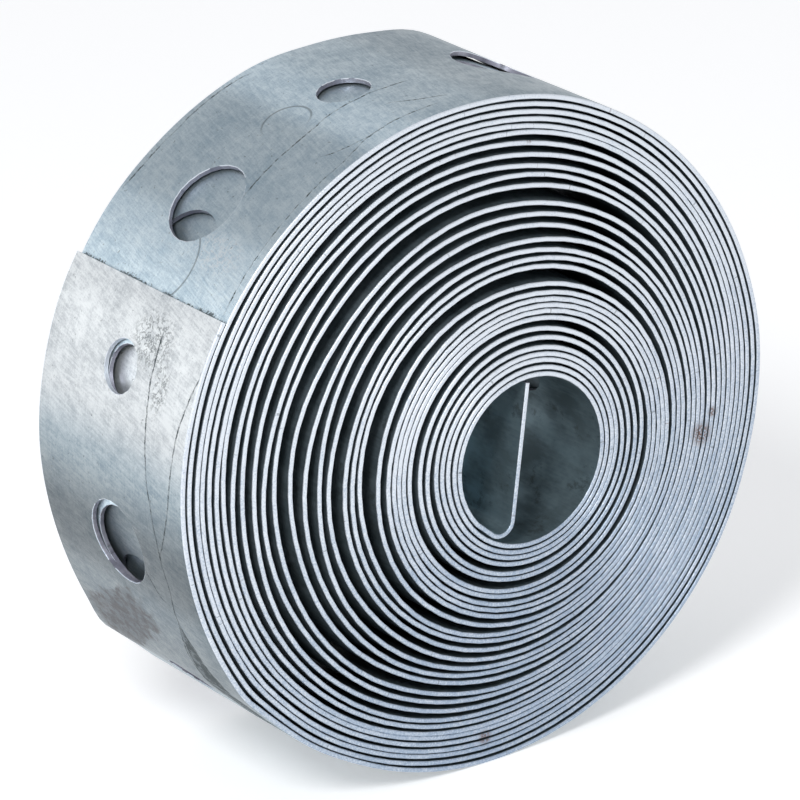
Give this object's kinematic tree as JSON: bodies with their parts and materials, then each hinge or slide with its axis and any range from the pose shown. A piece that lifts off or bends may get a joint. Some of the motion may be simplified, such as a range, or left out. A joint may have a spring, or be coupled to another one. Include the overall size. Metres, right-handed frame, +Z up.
{
  "type": "steel hanger strap coil",
  "caption": "Narrow perforated galvanised steel hanger strap, wound into a loose round coil that stands on its rim.",
  "frame": {"origin": "centre of the bounding box at its underside, where the coil's rim touches the floor", "axes": "+Z up, -Y along the coil's axis towards the end that shows, +X to the right seen from that end"},
  "size_m": [0.0516, 0.019, 0.0514],
  "materials": {
    "galvanised_steel": "galvanised, scratched, with bright sheared edges"
  },
  "bodies": {
    "root": {"strap": "galvanised_steel"}
  },
  "joints": []
}
